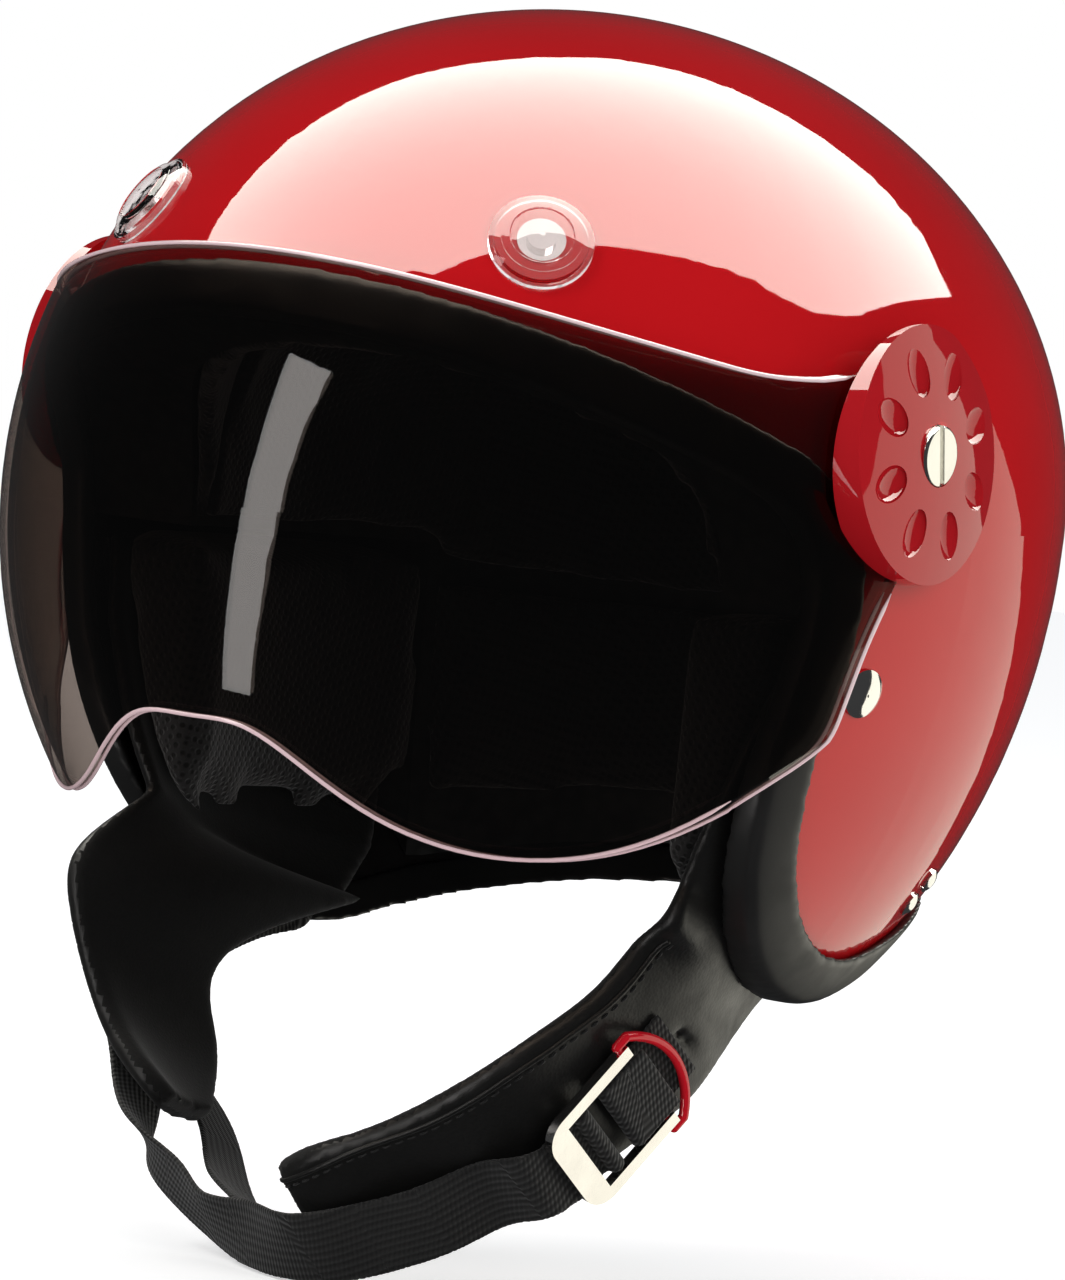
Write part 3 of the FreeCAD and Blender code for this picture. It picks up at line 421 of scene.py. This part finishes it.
def moulding(name):
    # black rubbery moulding with a faint matt grain
    s = Shader(name)
    s.set(Specular_IOR_Level=0.5)
    s.colour(s.ramp(s.noise(30.0), (0.0095, 0.0095, 0.0095), (0.016, 0.0155, 0.015), 0.3, 0.7))
    s.rough(s.span(s.noise(140.0, detail=4.0), 0.3, 0.44, 0.3, 0.7))
    s.bump(s.noise(900.0, detail=2.0), distance=0.00003, strength=0.4)
    return s.material


def metal(name, colour, low, high):
    # bright metal with fine drawn lines, between which its roughness goes from low to high
    s = Shader(name)
    s.set(Metallic=1.0)
    s.colour(s.ramp(s.noise(90.0), tuple(c * 0.9 for c in colour), colour, 0.3, 0.7))
    stretched = s.node("Mapping", {"Vector": s.where, "Scale": (1.0, 8.0, 1.0)}).outputs["Vector"]
    lines = s.noise(600.0, detail=2.0, where=stretched)
    s.rough(s.span(lines, low, high, 0.3, 0.7))
    s.bump(lines, distance=0.00001, strength=0.3)
    return s.material


def foam(name):
    # black bead foam
    s = Shader(name)
    beads = s.cells(260.0)
    s.colour(s.ramp(beads, (0.02, 0.02, 0.02), (0.006, 0.006, 0.006), 0.2, 0.8))
    s.rough(s.span(s.noise(100.0), 0.6, 0.8))
    s.bump(beads, distance=0.0004, strength=0.6)
    return s.material


def plastic(name, dark, light):
    # plain moulded plastic
    s = Shader(name)
    s.colour(s.ramp(s.noise(50.0), dark, light, 0.3, 0.7))
    s.rough(s.span(s.noise(200.0), 0.3, 0.45))
    s.bump(s.noise(700.0), distance=0.00003, strength=0.3)
    return s.material


def clear_plastic(name, tint):
    # clear plastic with a slightly uneven surface
    s = Shader(name)
    s.set(IOR=1.45, Transmission_Weight=1.0)
    s.colour(s.ramp(s.noise(60.0), tuple(c * 0.96 for c in tint), tint, 0.3, 0.7))
    s.rough(s.span(s.noise(150.0), 0.01, 0.05))
    s.bump(s.noise(260.0, detail=1.0), distance=0.0002, strength=0.25)
    return s.material


def smoke_glass(name):
    # thin tinted sheet: a little warmer seen edge on, and a stronger mirror the flatter it is seen
    s = Shader(name)
    s.tree.nodes.remove(s.bsdf)
    facing = s.node("LayerWeight", {"Blend": 0.5}).outputs["Facing"]
    tint = s.ramp(s.math("POWER", facing, 2.2), (0.48, 0.44, 0.415), (0.50, 0.43, 0.39))
    haze = s.span(s.noise(14.0, detail=2.0), 0.96, 1.0)
    shaded = s.node("VectorMath", {0: tint, "Scale": haze}, operation="SCALE")
    through = s.node("BsdfTransparent", {"Color": shaded.outputs[0]})
    ripple = s.node("Bump", {"Height": s.noise(9.0, detail=1.0), "Distance": 0.0002, "Strength": 0.1})
    gloss = s.node("BsdfGlossy", {"Roughness": 0.02, "Normal": ripple.outputs["Normal"]})
    mirror = s.sum(s.times(s.math("POWER", facing, 5.0), 1.0 - HEAD_ON_MIRROR), HEAD_ON_MIRROR)
    mix = s.node("MixShader", {0: mirror, 1: through.outputs[0], 2: gloss.outputs[0]})
    s.tree.links.new(mix.outputs[0], s.tree.nodes["Material Output"].inputs["Surface"])
    return s.material


def painted_edge_highlight(name):
    # painted highlight and painted reflection: the sheet's cut edge is coloured bright pale rose for the
    # light the sheet pipes to its edge and the red shell it mirrors, though light passes through its faces
    s = Shader(name)
    s.set(Specular_IOR_Level=0.8)
    # the painted highlight, pale rose to near white
    s.colour(s.ramp(s.noise(9.0, detail=2.0), (0.62, 0.36, 0.40), (0.95, 0.80, 0.81)))
    s.rough(s.span(s.noise(60.0, detail=2.0), 0.08, 0.2))
    s.bump(s.noise(120.0, detail=2.0), distance=0.00005, strength=0.2)
    return s.material


MATERIALS = {
    "shell_paint": lacquer("red_lacquer", (0.47, 0.0045, 0.0075), (0.52, 0.0065, 0.010), bare_inside=True),
    "disc_plastic": lacquer("red_moulded_plastic", (0.36, 0.007, 0.011), (0.42, 0.009, 0.014)),
    "edge_moulding": moulding("black_moulding"),
    "liner_foam": foam("bead_foam"),
    "comfort_cloth": air_mesh("black_air_mesh", (0.0012, 0.0012, 0.0012), (0.016, 0.015, 0.015)),
    "flap_skin": leatherette("black_leatherette", (0.0035, 0.0033, 0.003), (0.008, 0.0075, 0.007)),
    "webbing": webbing("black_webbing"),
    "buckle_metal": metal("polished_steel", (0.86, 0.84, 0.82), 0.08, 0.16),
    "loop_red": lacquer("red_coated_wire", (0.46, 0.006, 0.014), (0.56, 0.01, 0.02)),
    "visor_smoke": smoke_glass("light_smoke_sheet"),
    "screw_metal": metal("screw_chrome", (0.84, 0.83, 0.8), 0.1, 0.2),
    "spacer_plastic": plastic("spacer_plastic", (0.02, 0.02, 0.02), (0.04, 0.04, 0.04)),
    "washer_plastic": plastic("washer_nylon", (0.5, 0.5, 0.47), (0.62, 0.62, 0.58)),
    "plain_steel": metal("plated_steel", (0.6, 0.6, 0.58), 0.25, 0.4),
    "clear_cap": clear_plastic("clear_dome", (0.97, 0.9, 0.89)),
    "stud_chrome": metal("stud_chrome", (0.85, 0.85, 0.84), 0.05, 0.14),
    "rivet_chrome": metal("rivet_chrome", (0.87, 0.86, 0.84), 0.05, 0.12),
}


def paint_nodes():
    # every node of the frame gets its slot's material
    for part in frame["record"]["subparts"]:
        node = NODES[part["node"]]
        node.data.materials.clear()
        node.data.materials.append(MATERIALS[part["material_slot"]])


# ---------------------------------------------------------------- soft pieces
# node: size of the quads in its mesh, how far a point may swell, how full the pad is
PADS = {
    "brow_pad": (0.004, 0.0022, 0.7),
    "nape_pad": (0.004, 0.0025, 0.8),
    "crown_pad": (0.005, 0.0025, 0.6),
    "cheek_pad_left": (0.0045, 0.003, 0.8),
    "cheek_pad_right": (0.0045, 0.003, 0.8),
}
PAD_SHRINK = 0.0012
PRESSURE = 4.0
CLOTH_STEPS = 20
NO_MOVE = 1e-9

# side: which way along X is inwards, how full the flap is
FLAPS = {"left": (-1.0, 0.5), "right": (1.0, 0.5)}
FLAP_QUAD = 0.0013
FLAP_ROUNDS = 5
LINING_RISE = 0.45
LINING_FACING = 0.3
TRIM_QUAD = 0.0009
TRIM_ROUNDS = 26


def piece(name, mesh, slot, body="helmet", nodes=()):
    # a piece of the part, in its slot's material, riding on a body and standing for the nodes given
    obj = bpy.data.objects.new(name, mesh)
    scene.collection.objects.link(obj)
    mesh.materials.clear()
    mesh.materials.append(MATERIALS[slot])
    mesh.polygons.foreach_set("use_smooth", [True] * len(mesh.polygons))
    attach(obj, body)
    if nodes:
        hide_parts(*nodes)
    return obj


def evaluated(obj):
    deps = bpy.context.evaluated_depsgraph_get()
    return bpy.data.meshes.new_from_object(obj.evaluated_get(deps))


def with_modifier(mesh, kind, **values):
    # a new mesh, as the modifier makes it
    obj = bpy.data.objects.new("work", mesh)
    scene.collection.objects.link(obj)
    mod = obj.modifiers.new("work", kind)
    for key, value in values.items():
        setattr(mod, key, value)
    made = evaluated(obj)
    bpy.data.objects.remove(obj)
    return made


def copied(node, quad):
    # an even mesh of small quads over the node's solid
    return with_modifier(NODES[node].data.copy(), "REMESH", mode="VOXEL", voxel_size=quad)


def rounded(node, quad, rounds):
    # the same mesh with its corners smoothed off
    return with_modifier(copied(node, quad), "SMOOTH", factor=0.5, iterations=rounds)


def points_of(mesh):
    co = np.empty(len(mesh.vertices) * 3)
    mesh.vertices.foreach_get("co", co)
    return co.reshape(-1, 3)


def put_points(mesh, co):
    mesh.vertices.foreach_set("co", co.ravel())
    mesh.update()


def shrink(mesh, depth):
    # every point moved in by the depth
    normals = np.array([v.normal for v in mesh.vertices])
    put_points(mesh, points_of(mesh) - normals * depth)


def puffed(mesh, cap):
    # inflated as cloth, each point moved no further than the cap
    rest = points_of(mesh)
    obj = bpy.data.objects.new("work", mesh)
    scene.collection.objects.link(obj)
    cloth = obj.modifiers.new("cloth", "CLOTH")
    cloth.settings.use_pressure = True
    cloth.settings.uniform_pressure_force = PRESSURE
    cloth.settings.effector_weights.gravity = 0.0
    cloth.settings.quality = 4
    cloth.point_cache.frame_start = 1
    cloth.point_cache.frame_end = CLOTH_STEPS
    for step in range(1, CLOTH_STEPS + 1):
        scene.frame_set(step)
    blown = evaluated(obj)
    move = points_of(blown) - rest
    bpy.data.objects.remove(obj)
    scene.frame_set(1)
    size = np.maximum(np.linalg.norm(move, axis=1), NO_MOVE)
    put_points(blown, rest + move * np.minimum(1.0, cap / size)[:, None])
    return blown


def make_pads():
    for node, (quad, cap, fill) in PADS.items():
        mesh = copied(node, quad)
        shrink(mesh, PAD_SHRINK)
        mesh = puffed(mesh, cap)
        mesh = with_modifier(mesh, "SUBSURF", levels=1, render_levels=1)
        obj = piece("padded_" + node, mesh, "comfort_cloth", nodes=(node,))


def make_flaps():
    # leather outside, and a brushed lining on the faces that look inwards and up
    made = {}
    lining = brushed_cloth("brushed_flap_lining", (0.0015, 0.0015, 0.0014), (0.006, 0.0058, 0.0055))
    for side, (inwards, fill) in FLAPS.items():
        node = "ear_flap_" + side
        mesh = rounded(node, FLAP_QUAD, FLAP_ROUNDS)
        obj = piece("leather_" + node, mesh, "flap_skin", nodes=(node,))
        mesh.materials.append(lining)
        way = Vector((inwards, 0.0, LINING_RISE)).normalized()
        for face in mesh.polygons:
            face.material_index = int(face.normal.dot(way) > LINING_FACING)
        made[side] = obj
    return made


def make_trim():
    mesh = rounded("edge_trim", TRIM_QUAD, TRIM_ROUNDS)
    piece("rounded_edge_trim", mesh, "edge_moulding", nodes=("edge_trim",))


# ---------------------------------------------------------------- tubes
TUBE_SIDES = 8
TUBE_END = 0.25
STEEP = 0.05


def tube(points, radius, sides):
    # a round tube along the points, drawn in at its two ends
    verts, faces = [], []
    n = len(points)
    for i, p in enumerate(points):
        along = (points[min(i + 1, n - 1)] - points[max(i - 1, 0)]).normalized()
        side = along.cross(Vector((0.0, 0.0, 1.0)))
        if side.length < STEEP:
            side = along.cross(Vector((0.0, 1.0, 0.0)))
        side.normalize()
        top = side.cross(along)
        for k in range(sides):
            a = 2 * math.pi * k / sides
            end = TUBE_END if i in (0, n - 1) else 1.0
            verts.append(p + (side * math.cos(a) + top * math.sin(a)) * radius * end)
    for i in range(n - 1):
        for k in range(sides):
            j = (k + 1) % sides
            faces.append((i * sides + k, i * sides + j, (i + 1) * sides + j, (i + 1) * sides + k))
    faces.append(tuple(range(sides))[::-1])
    faces.append(tuple((n - 1) * sides + k for k in range(sides)))
    return verts, faces


def add_tubes(name, runs, radius, slot, sides=TUBE_SIDES, body="helmet"):
    verts, faces = [], []
    for run in runs:
        v, f = tube(run, radius, sides)
        base = len(verts)
        verts.extend(v)
        faces.extend(tuple(i + base for i in face) for face in f)
    mesh = bpy.data.meshes.new(name)
    mesh.from_pydata(verts, [], faces)
    return piece(name, mesh, slot, body)


# ---------------------------------------------------------------- visor's edge
EDGE_STEP = 0.0012
EDGE_BEAD = 0.00055
SAME_POINT = 1e-5
CORNER = 0.5
LEAST_AHEAD = 0.5
SHORTEST_RUN = 0.03
FEWEST_POINTS = 4


def straight_on(line, sharp):
    # the corner edge that carries the line on without a sharp turn
    end = line[-1]
    way = (end.co - line[-2].co).normalized()
    best, most = None, LEAST_AHEAD
    for edge in end.link_edges:
        if edge in sharp:
            ahead = (edge.other_vert(end).co - end.co).normalized().dot(way)
            if ahead > most:
                best, most = edge, ahead
    return best


def border_lines(node):
    # the lines along which the faces of the node's solid meet at a corner
    work = bmesh.new()
    work.from_mesh(NODES[node].data)
    bmesh.ops.remove_doubles(work, verts=work.verts, dist=SAME_POINT)
    sharp = [e for e in work.edges if len(e.link_faces) == 2 and e.calc_face_angle() > CORNER]
    left = set(sharp)
    lines = []
    for edge in sharp:
        if edge not in left:
            continue
        left.remove(edge)
        line = list(edge.verts)
        for _ in range(2):
            on = straight_on(line, left)
            while on:
                left.remove(on)
                line.append(on.other_vert(line[-1]))
                on = straight_on(line, left)
            line.reverse()
        points = [v.co.copy() for v in line]
        if sum((b - a).length for a, b in zip(points[:-1], points[1:])) > SHORTEST_RUN:
            lines.append(points)
    work.free()
    return lines


def evenly(points, step):
    # the line's two ends, and of its other points those more than a step past the last one kept
    out = [points[0]]
    for p in points[1:-1]:
        if (p - out[-1]).length > step:
            out.append(p)
    return out + [points[-1]]


def past_disc(line):
    # the stretches of the line that the side discs don't cover
    low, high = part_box("pivot_disc_left")
    y, z, radius = (low[1] + high[1]) / 2, (low[2] + high[2]) / 2, (high[1] - low[1]) / 2
    runs, run = [], []
    for p in line:
        if math.hypot(p.y - y, p.z - z) > radius - EDGE_STEP:
            run.append(p)
        elif run:
            runs.append(run)
            run = []
    return [r for r in runs + [run] if len(r) >= FEWEST_POINTS]


def make_visor_edge():
    # the edge of the sheet, rounded over, its catch of light painted into its colour as a pale rose
    # highlight
    runs = [evenly(run, EDGE_STEP) for line in border_lines("visor") for run in past_disc(line)]
    bead = add_tubes("visor_edge_painted_highlight", runs, EDGE_BEAD, "visor_smoke", body="visor")
    bead.data.materials[0] = painted_edge_highlight("sheet_edge_painted_highlight")


# ---------------------------------------------------------------- webbing
STRAP_DEPTH = 0.0055
STRAP_QUAD = 0.00055
STRAP_ROUNDS = 2


def on_right_wall(pair):
    # a row's two ends on the shell's right wall, the strap's depth in from its outer skin
    row = []
    for y, z in pair:
        a, b = SHELL_HALF_WIDTH - STRAP_DEPTH, SHELL_HALF_LENGTH - STRAP_DEPTH
        c = (SHELL_DROP if z < 0 else SHELL_RISE) - STRAP_DEPTH
        x = a * math.sqrt(max(0.0, 1 - (y / b) ** 2 - (z / c) ** 2))
        row.append(Vector((-x, y, z)))
    return row


def mm(rows):
    return [[Vector(p) / 1000 for p in row] for row in rows]


# Each row crosses a strap from its front edge to its rear edge. On the shell's wall a row gives y and z
# in metres, and elsewhere whole points in millimetres.
FRONT_LEG = [((-0.042, -0.028), (-0.020, -0.028)), ((-0.040, -0.046), (-0.017, -0.046)),
             ((-0.036, -0.064), (-0.013, -0.064)), ((-0.031, -0.082), (-0.008, -0.082)),
             ((-0.026, -0.100), (-0.003, -0.100))]
CHIN_STRAP = mm([
    ((-77.0, -28.0, -111.0), (-78.5, -6.0, -112.0)), ((-75.5, -35.0, -119.0), (-70.5, -12.0, -122.5)),
    ((-82.5, -46.0, -128.0), (-78.0, -24.0, -132.0)), ((-82.0, -53.0, -142.0), (-79.3, -31.0, -146.0)),
    ((-73.0, -57.0, -157.5), (-73.5, -35.0, -162.0)), ((-61.0, -60.0, -169.5), (-68.0, -45.0, -174.0)),
    ((-46.0, -62.0, -177.0), (-58.0, -52.0, -183.0)), ((-35.0, -66.0, -182.0), (-42.0, -52.0, -193.0)),
    ((-20.0, -70.0, -180.0), (-26.0, -57.0, -197.0)), ((1.0, -80.8, -179.2), (3.0, -65.8, -196.2)),
    ((16.0, -80.0, -170.0), (20.0, -62.0, -193.0)), ((30.0, -74.0, -164.0), (34.0, -58.0, -187.0)),
    ((47.5, -68.0, -154.0), (48.7, -50.0, -174.0)), ((57.0, -61.0, -146.0), (58.0, -44.0, -162.0)),
    ((66.0, -46.0, -138.0), (68.0, -28.0, -152.0)), ((75.0, -34.0, -120.0), (76.0, -14.0, -134.0))])
REAR_LEG = mm([
    ((-27.0, -64.0, -184.0), (-14.0, -58.0, -189.0)), ((-44.0, -54.0, -179.0), (-38.0, -42.0, -186.0)),
    ((-58.0, -40.0, -172.0), (-56.0, -25.0, -177.0)), ((-73.5, -33.0, -160.5), (-72.0, -18.0, -165.0)),
    ((-85.5, -37.0, -144.5), (-82.8, -22.5, -148.5)), ((-85.0, -30.0, -128.5), (-81.8, -16.5, -135.5)),
    ((-76.5, 2.5, -109.5), (-70.0, 10.5, -122.5))])
REAR_INSIDE = [((0.014, -0.1005), (0.022, -0.1145)), ((0.029, -0.091), (0.0375, -0.1045)),
               ((0.040, -0.084), (0.0485, -0.0975))]


def strap_map(mesh, rows):
    # distance along and across the strap at each point, kept as the map the weave reads
    mid = np.array([(a + b) / 2 for a, b in rows])
    way = np.array([(b - a).normalized() for a, b in rows])
    run = np.diff(mid, axis=0)
    length = np.linalg.norm(run, axis=1)
    start = np.concatenate(([0.0], np.cumsum(length)))[:-1]
    co = points_of(mesh)
    t = np.einsum("pij,ij->pi", co[:, None, :] - mid[None, :-1], run) / length ** 2
    t = np.clip(t, 0, 1)
    near = mid[None, :-1] + t[..., None] * run[None]
    k = np.linalg.norm(co[:, None, :] - near, axis=2).argmin(axis=1)
    each = np.arange(len(co))
    u = start[k] + t[each, k] * length[k]
    v = np.einsum("pj,pj->p", co - near[each, k], way[k])
    loops = np.empty(len(mesh.loops), int)
    mesh.loops.foreach_get("vertex_index", loops)
    layer = mesh.uv_layers.new(name="strap")
    layer.data.foreach_set("uv", np.column_stack((u[loops], v[loops])).ravel())


def make_straps():
    main = [on_right_wall(pair) for pair in FRONT_LEG] + CHIN_STRAP
    rear = REAR_LEG + [on_right_wall(pair) for pair in REAR_INSIDE]
    for node, rows in (("strap_main", main), ("strap_rear_right", rear), ("strap_left", CHIN_STRAP)):
        mesh = rounded(node, STRAP_QUAD, STRAP_ROUNDS)
        strap_map(mesh, rows)
        piece("webbing_" + node, mesh, "webbing", nodes=(node,))


# ---------------------------------------------------------------- stitching
# Each row crosses the left flap from its front edge to its rear edge, in millimetres.
LEFT_EDGE = mm([
    ((77.0, -47.0, -103.0), (67.0, 6.0, -131.0)), ((71.0, -50.0, -111.0), (69.5, -9.0, -141.5)),
    ((68.0, -56.0, -118.7), (68.5, -16.0, -147.5)), ((62.5, -68.0, -129.0), (63.0, -28.0, -157.5)),
    ((54.5, -77.0, -138.5), (55.0, -42.0, -170.0)), ((37.0, -83.0, -152.0), (39.0, -50.0, -182.0)),
    ((16.0, -88.0, -163.0), (20.0, -60.0, -193.0)), ((-1.0, -86.0, -171.0), (5.0, -65.0, -195.0))])
FLAP_MIDDLE_Z = -0.1
CAST_FROM = 0.012
CAST_REACH = 0.03
SEEK_FROM = 0.002

PIPING_INSET = 0.0034
PIPING_POINTS = 240
PIPING_RADIUS = 0.00065
PIPING_LIFT = 0.0001
STITCH_INSET = 0.0052
STITCH_POINTS = 900
STITCH_LENGTH = 0.0021
STITCH_GAP = 0.0011
STITCH_ARCH = 0.00035
STITCH_SINK = 0.0001
THREAD_RADIUS = 0.0003
THREAD_SIDES = 6


def tree_of(obj):
    mesh = obj.data
    return BVHTree.FromPolygons([v.co for v in mesh.vertices], [p.vertices[:] for p in mesh.polygons])


def seam_line(tree, rows, inset, count):
    # points and normals of a line on the flap's outer face, a set distance in from its front edge
    fronts = smooth_row([a for a, b in rows], count)
    rears = smooth_row([b for a, b in rows], count)
    line = []
    for i in range(count):
        across = (rears[i] - fronts[i]).normalized()
        along = (fronts[min(i + 1, count - 1)] - fronts[max(i - 1, 0)]).normalized()
        out = across.cross(along).normalized()
        spot = fronts[i] + across * inset
        if out.dot(Vector((spot.x, 0.0, spot.z - FLAP_MIDDLE_Z))) < 0:
            out = -out
        hit, normal, _, _ = tree.ray_cast(spot + out * CAST_FROM, -out, CAST_REACH)
        if hit is None:
            hit, normal, _, _ = tree.find_nearest(spot + out * SEEK_FROM)
        line.append((hit, normal))
    return line


def arched(run):
    # one stitch, its middle proud of the face and its ends sunk in it
    last = len(run) - 1
    return [p + q * (STITCH_ARCH * math.sin(math.pi * i / last) - STITCH_SINK)
            for i, (p, q) in enumerate(run)]


def stitches(line, length, gap):
    # the line cut into stitches with gaps between them
    runs = []
    run = [line[0]]
    walked, limit, sewing = 0.0, length, True
    for a, b in zip(line[:-1], line[1:]):
        walked += (b[0] - a[0]).length
        if sewing:
            run.append(b)
        if walked > limit:
            if sewing and len(run) > 2:
                runs.append(arched(run))
            sewing = not sewing
            walked, limit = 0.0, (length if sewing else gap)
            run = [b]
    return runs


def make_stitching(flap):
    tree = tree_of(flap)
    piping = seam_line(tree, LEFT_EDGE, PIPING_INSET, PIPING_POINTS)
    add_tubes("flap_piping", [[p + n * PIPING_LIFT for p, n in piping]], PIPING_RADIUS, "flap_skin")
    sewn = stitches(seam_line(tree, LEFT_EDGE, STITCH_INSET, STITCH_POINTS), STITCH_LENGTH, STITCH_GAP)
    add_tubes("flap_stitches", sewn, THREAD_RADIUS, "webbing", THREAD_SIDES)


place_camera()
place_lamps()
hang_panels()
fill_world()
lay_floor()
paint_nodes()
make_pads()
flap_pieces = make_flaps()
make_trim()
make_visor_edge()
make_straps()
make_stitching(flap_pieces["left"])

scene.view_settings.view_transform = "Standard"
